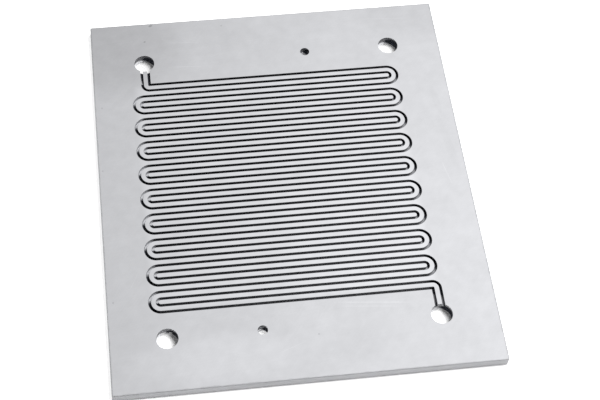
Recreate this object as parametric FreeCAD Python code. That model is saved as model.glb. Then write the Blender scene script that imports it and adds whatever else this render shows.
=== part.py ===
"""Fuel cell bipolar plate.

One flat metal plate, machined from a single piece. In a stack it stands between two cells
and feeds gas to both of them. Four gas ports go through it near its corners. On the front
a pair of parallel channels snakes from the upper left port to the lower right one. On the
back the same pair, turned over, joins the other two ports. Two small holes take the pins
that line the plates up.

The plate lies on its back. The origin is the middle of its underside, X runs along the
channel rows, Y runs up the plate and Z is its thickness. All sizes are in millimetres.
"""

import FreeCAD
import Part

import os

from FreeCAD import Vector

# The plate itself
plate_width = 102.6
plate_height = 119.3
plate_thickness = 3.0
corner_radius = 0.5
edge_break = 0.15

# Gas ports, one near each corner, given by their spacing
port_diameter = 5.8
port_spacing_across = 72.3
port_spacing_along = 89.6

# Holes for the alignment pins, level with the ports
pin_hole_diameter = 2.7
pin_hole_spacing_across = 22.5

# The pair of gas channels
channel_width = 0.8
channel_depth = 1.1
channel_pitch = 2.0
turns_each_side = 9
left_turn_overhang = 0.85

UP = Vector(0, 0, 1)

# The two legs of a port lie half a pitch to either side of it
port_x = port_spacing_across / 2
port_y = port_spacing_along / 2
inner_leg_x = port_x - channel_pitch / 2
outer_leg_x = port_x + channel_pitch / 2

# A turn to the right and the turn to the left after it use four rows of the field between
# them, and two more rows end it
rows_per_turn = 4
row_count = rows_per_turn * turns_each_side + 2
first_row_y = (row_count - 1) / 2 * channel_pitch

# The wide turns on the right reach as far as the outer leg below them, and the turns on the
# left reach a little beyond the port above them
wide_turn_radius = 1.5 * channel_pitch
right_turn_x = outer_leg_x - wide_turn_radius
left_turn_x = -port_x - left_turn_overhang


def at(x, y):
    """A point on the drawing plane of the channels."""
    return Vector(x, y, 0)


def row_y(row):
    """How high a row lies. Rows are counted from 0 at the top."""
    return first_row_y - row * channel_pitch


def turn(x, upper_row, lower_row, side):
    """Half a circle from the end of one row to the end of another.

    Side is 1 for a turn at the right end of the rows and -1 for one at the left end.
    """
    upper = at(x, row_y(upper_row))
    lower = at(x, row_y(lower_row))
    bulge = (upper.y - lower.y) / 2
    middle = at(x + side * bulge, (upper.y + lower.y) / 2)
    return Part.Arc(upper, middle, lower).toShape()


def port_leg(side, row, leg_x, bend_radius):
    """The stretch of channel between a port and the end of a row.

    Side is -1 for the upper left port and 1 for the lower right one. A bend radius of 0
    leaves a square corner. Returned are the edges and the point where the row begins.
    """
    port_end = at(side * leg_x, -side * port_y)
    bend_end = at(side * leg_x, row_y(row) - side * bend_radius)
    row_end = at(side * (leg_x - bend_radius), row_y(row))
    leg = Part.makeLine(port_end, bend_end)
    if bend_radius == 0:
        return [leg], row_end
    bend_centre = at(row_end.x, bend_end.y)
    middle = bend_centre + Vector(side, side, 0).normalize() * bend_radius
    return [leg, Part.Arc(bend_end, middle, row_end).toShape()], row_end


def channel_path(first_row, rows_to_the_right, inlet, outlet):
    """The middle line of one channel, from port to port.

    It drops by so many rows in each turn on the right, and by the rest of the four in each
    turn on the left.
    """
    edges, here = inlet
    edges = list(edges)
    for count in range(turns_each_side):
        row = first_row + rows_per_turn * count
        back_row = row + rows_to_the_right
        next_row = row + rows_per_turn
        edges.append(Part.makeLine(here, at(right_turn_x, row_y(row))))
        edges.append(turn(right_turn_x, row, back_row, 1))
        edges.append(Part.makeLine(at(right_turn_x, row_y(back_row)),
                                   at(left_turn_x, row_y(back_row))))
        edges.append(turn(left_turn_x, back_row, next_row, -1))
        here = at(left_turn_x, row_y(next_row))
    last_edges, row_end = outlet
    edges.append(Part.makeLine(here, row_end))
    edges.extend(reversed(last_edges))
    return Part.Wire(edges)


def front_paths():
    """Both channels of the front: each is the wide one of the pair on one side only."""
    wide_on_the_right = channel_path(
        0, 3,
        port_leg(-1, 0, inner_leg_x, 0),
        port_leg(1, row_count - 2, outer_leg_x, channel_pitch))
    wide_on_the_left = channel_path(
        1, 1,
        port_leg(-1, 1, outer_leg_x, channel_pitch),
        port_leg(1, row_count - 1, inner_leg_x, 0))
    return [wide_on_the_right, wide_on_the_left]


def channel_cutter(path):
    """What an end mill as wide as the channel takes away from the front face."""
    band = path.makeOffset2D(channel_width / 2, join=0, fill=False, openResult=False)
    cutter = Part.Face(band).extrude(UP * channel_depth)
    cutter.translate(UP * (plate_thickness - channel_depth))
    return cutter


def turned_over(cutter):
    """The same cutter for the back: the plate turned over about its upright middle line."""
    other = cutter.copy()
    other.rotate(UP * (plate_thickness / 2), Vector(0, 1, 0), 180)
    return other


def hole_cutter(x, y, diameter):
    """What a drill takes away."""
    return Part.makeCylinder(diameter / 2, plate_thickness, at(x, y))


def rises(edge):
    """Whether an edge of the blank stands upright."""
    return abs(edge.Vertexes[0].Z - edge.Vertexes[-1].Z) > plate_thickness / 2


def plate_blank():
    """The bare plate, with rounded corners and every long edge broken."""
    blank = Part.makeBox(plate_width, plate_height, plate_thickness,
                         at(-plate_width / 2, -plate_height / 2))
    blank = blank.makeFillet(corner_radius, [edge for edge in blank.Edges if rises(edge)])
    return blank.makeChamfer(edge_break, [edge for edge in blank.Edges if not rises(edge)])


def bipolar_plate():
    ports = [hole_cutter(x, y, port_diameter)
             for x in (-port_x, port_x) for y in (-port_y, port_y)]
    pin_x = pin_hole_spacing_across / 2
    pin_holes = [hole_cutter(pin_x, port_y, pin_hole_diameter),
                 hole_cutter(-pin_x, -port_y, pin_hole_diameter)]
    front = [channel_cutter(path) for path in front_paths()]
    back = [turned_over(cutter) for cutter in front]
    return plate_blank().cut(ports + pin_holes).cut(front + back)


plate = bipolar_plate()
print("one solid:", len(plate.Solids) == 1, "valid:", plate.isValid())
print("rows", row_count, "faces", len(plate.Faces), "volume", round(plate.Volume, 1))
os.makedirs("parts", exist_ok=True)
plate.Solids[0].exportStep("parts/bipolar_plate.step")
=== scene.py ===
# %% [markdown]
# # A fuel cell bipolar plate
#
# The object is one flat plate of pale metal. A pair of gas channels snakes over each of its
# faces, and six holes go through it. The solid comes from the drawing and is true to size,
# so this lesson gives it a finish, a table to lie on, light and a camera.

# %% Load the plate
import bpy
import math
from mathutils import Matrix, Vector


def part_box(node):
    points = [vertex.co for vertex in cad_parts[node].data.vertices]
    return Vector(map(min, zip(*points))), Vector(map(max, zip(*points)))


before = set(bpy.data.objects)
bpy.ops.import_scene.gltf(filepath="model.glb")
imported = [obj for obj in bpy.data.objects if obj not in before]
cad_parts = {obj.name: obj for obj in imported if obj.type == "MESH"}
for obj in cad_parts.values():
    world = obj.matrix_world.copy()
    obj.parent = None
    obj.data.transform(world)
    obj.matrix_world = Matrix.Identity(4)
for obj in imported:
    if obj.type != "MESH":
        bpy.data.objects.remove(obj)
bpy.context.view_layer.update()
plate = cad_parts["bipolar_plate"]
low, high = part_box("bipolar_plate")
mm = 0.001
half_width = (high - low).x / 2
half_height = (high - low).y / 2
thickness = (high - low).z
print("plate", [round(side / mm, 2) for side in high - low], "mm")

# %% [markdown]
# ## The camera
#
# The photograph looks down on the plate from beyond its lower edge, a little to the left.
# The camera hangs 0.38 m from the plate, and its picture is shifted sideways, because the
# photograph was cropped: with the shift, the upright edges lean as they do there.

# %% Camera
camera_place = Vector((-36.03, -201.33, 322.99)) * mm
camera_target = Vector((-7.44, -5.2, 3.0)) * mm
camera_roll = 2.266
focal_length = 81.95
sideways_shift = 0.0657


def aim(thing, target, roll=0.0):
    """Point a lamp or camera at a place, then roll it about that line by so many degrees."""
    look = (target - thing.location).to_track_quat("-Z", "Y").to_matrix().to_4x4()
    spin = Matrix.Rotation(math.radians(roll), 4, "Z")
    thing.matrix_world = Matrix.Translation(thing.location) @ look @ spin


camera_data = bpy.data.cameras.new("camera")
camera_data.sensor_width = 36.0
camera_data.lens = focal_length
camera_data.shift_x = sideways_shift
camera_data.clip_start = 10 * mm
camera = bpy.data.objects.new("camera", camera_data)
bpy.context.collection.objects.link(camera)
camera.location = camera_place
aim(camera, camera_target, camera_roll)
bpy.context.scene.camera = camera
bpy.context.scene.view_settings.view_transform = "Standard"
print("camera to plate", round((camera_place - camera_target).length / mm), "mm")

# %% [markdown]
# ## Materials as arithmetic
#
# A finish is mostly arithmetic on the place of a point: how deep it lies in a channel, how
# near an edge it is, how a grain of noise falls there. Written as a chain of nodes that is
# hard to read. With a small wrapper round a socket, a line of ordinary arithmetic adds the
# nodes for us.

# %% A value in a material
class Value:
    """A number at each point of a surface, held by the output socket of a node."""

    def __init__(self, tree, socket):
        self.tree = tree
        self.socket = socket

    def beside(self, output):
        """Another output of the same node."""
        return Value(self.tree, self.socket.node.outputs[output])

    def maths(self, operation, *numbers):
        made = self.tree.nodes.new("ShaderNodeMath")
        made.operation = operation
        for place, number in zip(made.inputs, numbers):
            if isinstance(number, Value):
                self.tree.links.new(number.socket, place)
            else:
                place.default_value = number
        return Value(self.tree, made.outputs[0])

    def __add__(self, other):
        return self.maths("ADD", self, other)

    def __radd__(self, other):
        return self.maths("ADD", other, self)

    def __sub__(self, other):
        return self.maths("SUBTRACT", self, other)

    def __rsub__(self, other):
        return self.maths("SUBTRACT", other, self)

    def __mul__(self, other):
        return self.maths("MULTIPLY", self, other)

    def __rmul__(self, other):
        return self.maths("MULTIPLY", other, self)

    def __truediv__(self, other):
        return self.maths("DIVIDE", self, other)

    def __abs__(self):
        return self.maths("ABSOLUTE", self)

    def root(self):
        return self.maths("SQRT", self)

    def smaller(self, other):
        return self.maths("MINIMUM", self, other)

    def larger(self, other):
        return self.maths("MAXIMUM", self, other)

    def wrapped(self, half):
        """The number, moved by whole periods until it lies between -half and half."""
        return self.maths("WRAP", self, half, -half)


# %% A finish under construction
class Finish:
    """The nodes of a material or a world, added one by one."""

    def __init__(self, owner, end="ShaderNodeOutputMaterial"):
        owner.use_nodes = True
        self.tree = owner.node_tree
        self.tree.nodes.clear()
        self.end = self.tree.nodes.new(end)

    def node(self, kind, settings, inputs, output=0):
        """Add a node, set it up, fill or link its sockets and return one of its outputs."""
        made = self.tree.nodes.new(kind)
        for name, setting in settings.items():
            setattr(made, name, setting)
        for name, given in inputs.items():
            self.plug(given, made.inputs[name])
        return Value(self.tree, made.outputs[output])

    def plug(self, given, place):
        if isinstance(given, Value):
            self.tree.links.new(given.socket, place)
        else:
            place.default_value = given

    def fade(self, value, none, full):
        """A smooth step from 0 to 1 as a value goes from one number to another."""
        return self.node("ShaderNodeMapRange", {"interpolation_type": "SMOOTHSTEP"},
                         {"Value": value, "From Min": none, "From Max": full})

    def noise(self, vector, size, detail=2.0, roughness=0.5):
        """Noise about 0, from roughly -0.5 to 0.5, with blotches of about the given size."""
        return self.node("ShaderNodeTexNoise", {},
                         {"Vector": vector, "Scale": 0.5 / size, "Detail": detail,
                          "Roughness": roughness}) - 0.5

    def stretched(self, vector, scale, turn=0.0):
        """Coordinates that are turned in the plane of the plate and then squeezed."""
        turned = self.node("ShaderNodeMapping", {},
                           {"Vector": vector, "Rotation": (0, 0, math.radians(turn))})
        return self.node("ShaderNodeMapping", {}, {"Vector": turned, "Scale": scale})

    def surface(self, shader):
        self.plug(shader, self.end.inputs["Surface"])


# %% [markdown]
# ## Where a point lies
#
# The plate has five kinds of surface, and each was made in another way: the lapped faces, the
# milled channels, the drilled holes, the milled outer sides, and the edges that were broken
# with a file. They could be told apart by painting masks, but the place of a point is enough:
# its depth under the nearer face, how far in it is from the nearest side, and whether it lies
# on the wall of a hole.

# %% Masks from places
metal_material = bpy.data.materials.new("plate_metal")
metal = Finish(metal_material)
here = metal.node("ShaderNodeTexCoord", {}, {}, "Object")
x = metal.node("ShaderNodeSeparateXYZ", {}, {"Vector": here})
y = x.beside("Y")
z = x.beside("Z")
facing = metal.node("ShaderNodeTexCoord", {}, {}, "Normal")
facing_x = metal.node("ShaderNodeSeparateXYZ", {}, {"Vector": facing})
facing_y = facing_x.beside("Y")
facing_z = facing_x.beside("Z")

depth = thickness / 2 - abs(z - thickness / 2)
under_front = thickness - z
from_side = (half_width - abs(x)).smaller(half_height - abs(y))
inside = metal.fade(from_side, 0.5 * mm, 0.8 * mm)
cut = metal.fade(depth, 0.02 * mm, 0.1 * mm) * inside
outer_side = metal.fade(depth, 0.13 * mm, 0.15 * mm) * (1 - inside)
broken_edge = metal.fade(depth, 0.002 * mm, 0.01 * mm) * (1 - inside) - outer_side
print("masks of the kinds of surface:", len(metal.tree.nodes), "nodes")

# %% Walls of the holes
ports = {"x": 36.15 * mm, "y": 44.8 * mm, "radius": 2.9 * mm}
pin_holes = {"x": 11.25 * mm, "y": 44.8 * mm, "radius": 1.35 * mm}


def wall_of(holes):
    """1 on the walls of holes that are placed alike in the quarters of the plate."""
    across = abs(x) - holes["x"]
    along = abs(y) - holes["y"]
    off_wall = abs((across * across + along * along).root() - holes["radius"])
    return 1 - metal.fade(off_wall, 0.03 * mm, 0.06 * mm)


bored = wall_of(ports).larger(wall_of(pin_holes)) * cut
milled = cut - bored
print("with the holes:", len(metal.tree.nodes), "nodes")

# %% [markdown]
# ## The lapped faces
#
# Lapping leaves a face dull and even: a fine grain, and slow changes of tone where the
# abrasive bit more or less. Up close there are hair lines in two directions. The grain goes
# into colour, roughness and bump alike, each a little, so that it still shows when the light
# comes from another side. Noise does this well, and hair lines are the same noise, squeezed
# until its blotches are long threads.

# %% Grain, clouds and hair lines
grain = metal.noise(here, 0.22 * mm, detail=3.0, roughness=0.6)
mottle = metal.noise(here, 1.6 * mm, detail=3.0)
patches = metal.noise(here, 6 * mm, detail=3.0)
clouds = metal.noise(here, 22 * mm)
hair_lines = metal.noise(metal.stretched(here, (1, 0.02, 1), 83), 0.12 * mm)
more_hair_lines = metal.noise(metal.stretched(here, (1, 0.05, 1), 38), 0.16 * mm)
lines = hair_lines + more_hair_lines
lapped_tone = 0.12 * grain + 0.1 * mottle + 0.07 * patches + 0.06 * clouds + 0.03 * lines
print("lapped faces:", len(metal.tree.nodes), "nodes")

# %% [markdown]
# ## Tool marks
#
# A drill leaves rings in a hole, and the side of an end mill leaves lines along the outer
# sides. Both are thin in Z and long round the plate, so one noise, squeezed flat, serves for
# both. In the channels the mill is only 0.8 mm thick and chatters, which looks like a short
# speckle on floor and walls.

# %% Rings, side lines and speckle
rings = metal.noise(metal.stretched(here, (0.03, 0.03, 1)), 0.11 * mm)
side_bands = metal.noise(metal.stretched(here, (0.04, 0.04, 1)), 0.5 * mm)
speckle = metal.noise(here, 0.1 * mm, roughness=0.7)
tool_tone = 0.16 * rings * (bored + outer_side) + 0.14 * side_bands * outer_side
tool_tone = tool_tone + 0.2 * speckle * milled
print("tool marks:", len(metal.tree.nodes), "nodes")

# %% [markdown]
# ## Dark channels
#
# The channels look nearly black. Part of that is shadow, which the render makes by itself.
# The rest is painted shade, a blue black in the colour, which gets thicker from the edge of a
# channel to its floor. Towards the lower right of the plate the painted shade is lighter in the
# rows, above all on their walls, but not in the turns and the legs to the ports. Walls that face
# the lower right, towards the lamp, get little of it, which is painted light. The Normal output
# of the texture coordinates tells which way a surface faces.
#
# One quarter of each turn gets painted light, the one where the channel runs up to the right,
# along the lamp's light, so the painted shade is thin on its floor too. The turns of one side
# stand one above the other at even distances. Wrapping Y into one such distance makes a single
# turn out of all of them, and the place of a point round its middle then tells which way the
# channel runs there.

# %% Turns that run up to the right
turn_spacing = 8 * mm
left_turn = {"x": -37.0 * mm, "y": -2.0 * mm}
right_turn = {"x": 34.15 * mm, "y": 2.0 * mm}
field_left = -40.4 * mm
field_right = 37.5 * mm
field_half_height = 37.4 * mm


def runs_up(outwards, turn_y):
    """How much the channel runs up to the right, from -0.5 to 0.5, at a point of a left turn.

    Outwards is how far the point lies beyond the middles of the turns, and turn_y is the
    height of one of those middles. For right turns, the sign is the other way round.
    """
    outwards = outwards.larger(0.0)
    upwards = (y - turn_y).wrapped(turn_spacing / 2)
    return outwards * upwards / (outwards * outwards + upwards * upwards)


light_on_left = metal.fade(runs_up(left_turn["x"] - x, left_turn["y"]), 0.08, 0.42)
light_on_right = metal.fade(runs_up(x - right_turn["x"], right_turn["y"]), -0.12, -0.45)
front_half = metal.fade(z, 1.3 * mm, 1.7 * mm)
# Painted light on the floor of each turn where it runs up to the right, along the lamp's light.
painted_light_quarter = (0.74 * light_on_left + 0.36 * light_on_right) * front_half
print("turns:", len(metal.tree.nodes), "nodes")

# %% Painted shade in the channels
# How much lighter the painted shade gets towards the lower right of the plate.
lighter_to_lower_right = metal.fade(0.6 * x - y, -45 * mm, 60 * mm)
beyond_rows = (left_turn["x"] - x).larger(x - right_turn["x"])
beyond_rows = beyond_rows.larger(abs(y) - field_half_height)
lighter_to_lower_right_rows = lighter_to_lower_right * (1 - metal.fade(beyond_rows, 0.0, 1.2 * mm))
floors = metal.fade(abs(facing_z), 0.6, 0.9)
# Painted light: walls that face the lower right, towards the lamp, get little painted shade.
painted_lit_walls = metal.fade(0.87 * facing_x - 0.5 * facing_y, 0.5, 0.85)
# Painted shade in the channels, darker deeper down.
channel_painted_shade = 0.2 + 0.65 * metal.fade(depth, 0.12 * mm, 0.6 * mm)
channel_painted_shade = channel_painted_shade + 0.04 * floors - 0.6 * painted_lit_walls - painted_light_quarter
channel_painted_shade = channel_painted_shade * (1.04 - (0.6 - 0.22 * floors) * lighter_to_lower_right_rows)
channel_painted_shade = milled * channel_painted_shade.larger(0.05).smaller(0.95)
print("soot in the channels:", len(metal.tree.nodes), "nodes")

# %% [markdown]
# ## Dark holes
#
# In the holes the walls get painted shade well below the front face, thicker and reaching
# higher on the side that faces left, away from the lamp. Next to the table the painted shade
# stops, the wall is smoother, and its tone is raised as painted light, as if it mirrored the
# white paper. That leaves a dark crescent between two light ones. The outer sides of the plate
# get a little painted shade as well, most of all near the table.

# %% Painted shade in the holes
# Painted shade in the holes, darker low down and on the walls that face left, away from the
# lamp.
faces_left = metal.fade(facing_x, 0.35, -0.35)
low_in_bore = metal.fade(under_front - 0.6 * mm * facing_x, 0.8 * mm, 1.7 * mm)
# Painted light next to the table, where the wall is also smoother, as if it mirrored the paper.
smooth_painted_light_by_table = metal.fade(under_front + 1.1 * mm * facing_x, 2.0 * mm, 2.6 * mm) * bored
bore_painted_shade = 0.56 - 0.4 * lighter_to_lower_right + 0.16 * faces_left + (0.1 + 0.56 * faces_left) * low_in_bore
bore_painted_shade = bore_painted_shade.smaller(0.97) - (0.5 + 0.3 * lighter_to_lower_right) * smooth_painted_light_by_table
bore_painted_shade = bored * bore_painted_shade.larger(0.0)
# Painted shade on the outer sides, darker near the table.
side_painted_shade = outer_side * (0.06 + 0.06 * (1 - metal.fade(z, 0.3 * mm, 0.8 * mm)))
painted_shade = channel_painted_shade + bore_painted_shade + side_painted_shade
print("all soot:", len(metal.tree.nodes), "nodes")

# %% [markdown]
# ## Wear along the outline
#
# The filed edges are the smoothest metal on the plate, and shine a little. Just inside them
# the faces are rubbed by handling, in an uneven band. The band's inner limit comes from noise,
# so that it looks worn and not drawn. The narrow lands between the channels are a little
# brighter than the rest of the face, because the electrode was pressed on them.

# %% Edges
ragged = metal.noise(here, 1.1 * mm, detail=4.0, roughness=0.65)
rubbed = metal.fade(0.45 * mm + 0.9 * mm * ragged - from_side, 0.0, 0.25 * mm)
rubbed = rubbed * (1 - metal.fade(depth, 0.002 * mm, 0.01 * mm))
edge_tone = 0.1 * broken_edge * ragged - 0.06 * rubbed
into_field = (x - field_left).smaller(field_right - x).smaller(field_half_height - abs(y))
pressed = metal.fade(into_field, 0.0, 2.5 * mm) * (1 - cut)
print("edges:", len(metal.tree.nodes), "nodes")

# %% [markdown]
# ## Marks on the front
#
# This plate has been used. The photograph shows a nick by the upper edge, a pin prick below
# it, a few light scratches and dull smears. Each is placed one by one: a Mapping node of type
# Texture takes a point to the mark's own coordinates, where the mark is 1 long or 1 wide. Two
# broad darker areas over the upper corners are painted shade, and a broad lighter area low on
# the left is a lighter tone; the back has them too.

# %% A scratch and a spot
on_front = metal.fade(z, thickness - 0.02 * mm, thickness - 0.005 * mm)


def own_coordinates(place, size, turn):
    """X and Y of the point as a mark sees them, from its place, size and turn."""
    seen_by_mark = metal.node("ShaderNodeMapping", {"vector_type": "TEXTURE"}, {
        "Vector": here,
        "Location": (place[0] * mm, place[1] * mm, 0),
        "Rotation": (0, 0, math.radians(turn)),
        "Scale": (size[0] * mm, size[1] * mm, 1),
    })
    across = metal.node("ShaderNodeSeparateXYZ", {}, {"Vector": seen_by_mark})
    return across, across.beside("Y")


def scratch(place, length, turn, width=0.12):
    """A fine straight line that starts at a place, all in millimetres, and fades at its ends."""
    along, across = own_coordinates(place, (length, width), turn)
    ends = metal.fade(along, 0.0, 0.25) - metal.fade(along, 0.75, 1.0)
    return ends * (1 - metal.fade(abs(across), 0.2, 1.0))


def spot(place, size, turn=0.0):
    """A soft round or long spot round a place, in millimetres."""
    along, across = own_coordinates(place, size, turn)
    return 1 - metal.fade(along * along + across * across, 0.15, 1.0)


# %% The marks
scratches = [
    scratch((-30.0, 42.9), 11.7, -3.7),
    scratch((-29.4, 51.8), 10.3, -3.2),
    scratch((7.4, -38.5), 22.5, -5.7),
    scratch((8.6, -39.8), 18.5, -5.7, 0.09),
    scratch((27.0, 55.6), 17.0, -4.0, 0.09),
    scratch((44.6, 3.0), 9.0, -78.0, 0.1),
    scratch((-45.0, -30.0), 6.0, 64.0, 0.07),
    scratch((-8.0, -52.0), 9.0, 21.0, 0.07),
]
scratched = scratches[0]
for one_more in scratches[1:]:
    scratched = scratched.larger(one_more)
pricks = spot((-33.5, 58.8), (0.75, 0.5), 20).larger(spot((-35.6, 52.9), (0.4, 0.3)))
for place in [(-49.3, 30.0), (-50.2, 8.5), (-49.6, -33.0), (-12.4, 56.9), (3.1, -47.4)]:
    pricks = pricks.larger(0.6 * spot(place, (0.35, 0.3)))
pricks = pricks * on_front
smears = spot((23.2, 7.0), (1.6, 0.9), -10).larger(spot((13.0, -51.1), (9.0, 6.0)))
smears = smears.larger(spot((47.8, 8.0), (1.5, 13.0), 8))
smears = smears.larger(spot((46.9, 24.0), (1.3, 7.0), 6))
# Painted shade over the upper corners, and a lighter area low on the left.
painted_corner_shade = spot((-46.0, 52.0), (26.0, 22.0)).larger(0.5 * spot((48.0, 58.0), (24.0, 14.0)))
bright = spot((-24.0, -52.0), (26.0, 9.0))
mark_tone = 0.035 * scratched * on_front - 0.21 * pricks - 0.025 * smears * on_front
mark_tone = mark_tone - 0.1 * painted_corner_shade + 0.06 * bright
print("marks:", len(scratches), "scratches,", len(metal.tree.nodes), "nodes")

# %% [markdown]
# ## The metal
#
# All that was found so far changes one number, the tone, which multiplies the colour of bare
# aluminium, and the painted shade then covers it with a blue black. Next to the table in the
# holes the tone is raised, which is painted light. Where the painted shade is thick, in the
# holes, the surface is made hardly metallic, so it hardly shines. The same masks change the
# roughness: filed and drilled metal is smoother than lapped metal. Metal this rough has no
# clear reflections, so it takes its look from the lamp. The bump is a hundredth of a
# millimetre high, which is what such marks are.

# %% Two colours in one
def blended(kind, amount, first, second):
    """Blend two colours: a Mix node keeps them in its sockets 6 and 7, and the result in 2."""
    return metal.node("ShaderNodeMix", {"data_type": "RGBA", "blend_type": kind},
                      {0: amount, 6: first, 7: second}, 2)


# %% Plate metal
bare_aluminium = (0.716, 0.72, 0.737, 1.0)
# The blue black of all the painted shade.
painted_shade_colour = (0.003, 0.006, 0.018, 1.0)
bump_height = 0.01 * mm
# The tone carries painted light next to the table in the holes.
tone = 1 + lapped_tone + edge_tone + mark_tone + tool_tone + 0.08 * pressed + 0.3 * smooth_painted_light_by_table
colour = blended("MIX", painted_shade, blended("MULTIPLY", 1.0, bare_aluminium, tone), painted_shade_colour)
roughness = 0.78 + 0.1 * grain + 0.06 * rubbed - 0.05 * scratched
roughness = roughness - 0.08 * broken_edge - 0.1 * bored - 0.3 * smooth_painted_light_by_table
height = grain + 0.3 * lines + 1.2 * rings * (bored + outer_side) + speckle * milled
height = height - 1.5 * scratched * on_front - 6 * pricks + ragged * broken_edge
bump = metal.node("ShaderNodeBump", {}, {
    "Height": height,
    "Distance": bump_height,
    "Strength": 0.5,
})
metal.surface(metal.node("ShaderNodeBsdfPrincipled", {}, {
    "Base Color": colour,
    "Metallic": 1 - bore_painted_shade,
    "Roughness": roughness,
    "Specular IOR Level": 0.1,
    "Normal": bump,
}))
plate.data.materials.clear()
plate.data.materials.append(metal_material)
print("plate metal:", len(metal.tree.nodes), "nodes on", plate.name)

# %% [markdown]
# ## The table
#
# The plate lies on white paper that the photograph shows without any tone of its own, except
# for a thin shadow at the plate's foot and the shade inside the holes. A plain white floor
# would render light grey, so this one also glows a little, for the camera only. Under the
# plate and in the holes it glows less, which keeps the shade there. In the lower ports, nearer
# to the camera, the paper glows more except on the right side of each port: painted light,
# so that the shade stays on the right side only. Far away, where the lamp doesn't reach, the
# table glows more. Metal takes its look from what it mirrors, so the rays that it sends out
# see part of the glow too, or the plate's sides would be too dark.

# %% Table
table_reach = 3.0
below_plate = 0.02 * mm
bpy.ops.object.select_all(action="DESELECT")
bpy.ops.mesh.primitive_plane_add(size=2 * table_reach, location=(0, 0, -below_plate))
table = bpy.context.object
table.name = "table"
paper_material = bpy.data.materials.new("table_paper")
paper = Finish(paper_material)
seen = paper.node("ShaderNodeLightPath", {}, {}, "Is Camera Ray")
mirrored = seen.beside("Is Glossy Ray")
table_x = paper.node("ShaderNodeSeparateXYZ", {}, {
    "Vector": paper.node("ShaderNodeTexCoord", {}, {}, "Object"),
})
table_y = table_x.beside("Y")
to_outline = (half_width - abs(table_x)).smaller(half_height - abs(table_y))
outside = paper.fade(to_outline, 0.3 * mm, -0.3 * mm)
far = paper.fade((table_x * table_x + table_y * table_y).root(), 0.12, 0.6)
from_port = (table_x - ports["x"]).wrapped(ports["x"])
shade_side = paper.fade(from_port, -0.6 * mm, 1.6 * mm) - paper.fade(from_port, 3 * mm, 6 * mm)
in_lower_ports = paper.fade(table_y, 30 * mm, -30 * mm) * paper.fade(to_outline, 1 * mm, 4 * mm)
# Painted light on the paper in the lower ports, except on the right side of each port.
glow_under = 0.08 + 0.45 * (1 - shade_side) * in_lower_ports
glow_seen = glow_under + (0.84 - glow_under) * outside + 0.2 * far
glow_mirrored = 0.2 + 0.2 * outside
paper_colour = (0.9, 0.9, 0.9, 1.0)
paper.surface(paper.node("ShaderNodeBsdfPrincipled", {}, {
    "Base Color": paper_colour,
    "Roughness": 1.0,
    "Specular IOR Level": 0.0,
    "Emission Color": seen * glow_seen + mirrored * glow_mirrored,
    "Emission Strength": 1.0,
}))
table.data.materials.append(paper_material)
print("table", 2 * table_reach, "m wide,", len(paper.tree.nodes), "nodes")

# %% [markdown]
# ## The light
#
# The front face gets lighter from left to right, and the holes are black on the walls that
# face left. So the light is one wide, soft lamp, high up on the right and a little beyond the
# plate, where it can't reach the channel walls that the camera sees. A disk is closer to a
# studio lamp than a square is. The room itself adds little: only the camera sees it white.

# %% Room
room_light = 0.04
room_world = bpy.data.worlds.new("room")
bpy.context.scene.world = room_world
room = Finish(room_world, "ShaderNodeOutputWorld")
looked_at = room.node("ShaderNodeLightPath", {}, {}, "Is Camera Ray")
room.surface(room.node("ShaderNodeBackground", {}, {
    "Color": (1.0, 1.0, 1.0, 1.0),
    "Strength": room_light + (1 - room_light) * looked_at,
}))
print("room light", room_light)

# %% Lamp
lamp_bearing = 20
lamp_height = 67
lamp_distance = 0.7
lamp_width = 0.32
lamp_power = 5.2


def direction(bearing, height):
    """The way to a lamp, from its bearing from +X towards +Y and its height, in degrees."""
    bearing = math.radians(bearing)
    height = math.radians(height)
    return Vector((math.cos(height) * math.cos(bearing), math.cos(height) * math.sin(bearing),
                   math.sin(height)))


lamp_data = bpy.data.lights.new("lamp", "AREA")
lamp_data.shape = "DISK"
lamp_data.size = lamp_width
lamp_data.energy = lamp_power
lamp = bpy.data.objects.new("lamp", lamp_data)
bpy.context.collection.objects.link(lamp)
lamp.location = direction(lamp_bearing, lamp_height) * lamp_distance
aim(lamp, Vector((0, 0, 0)))
print("lamp at", [round(side / mm) for side in lamp.location], "mm")
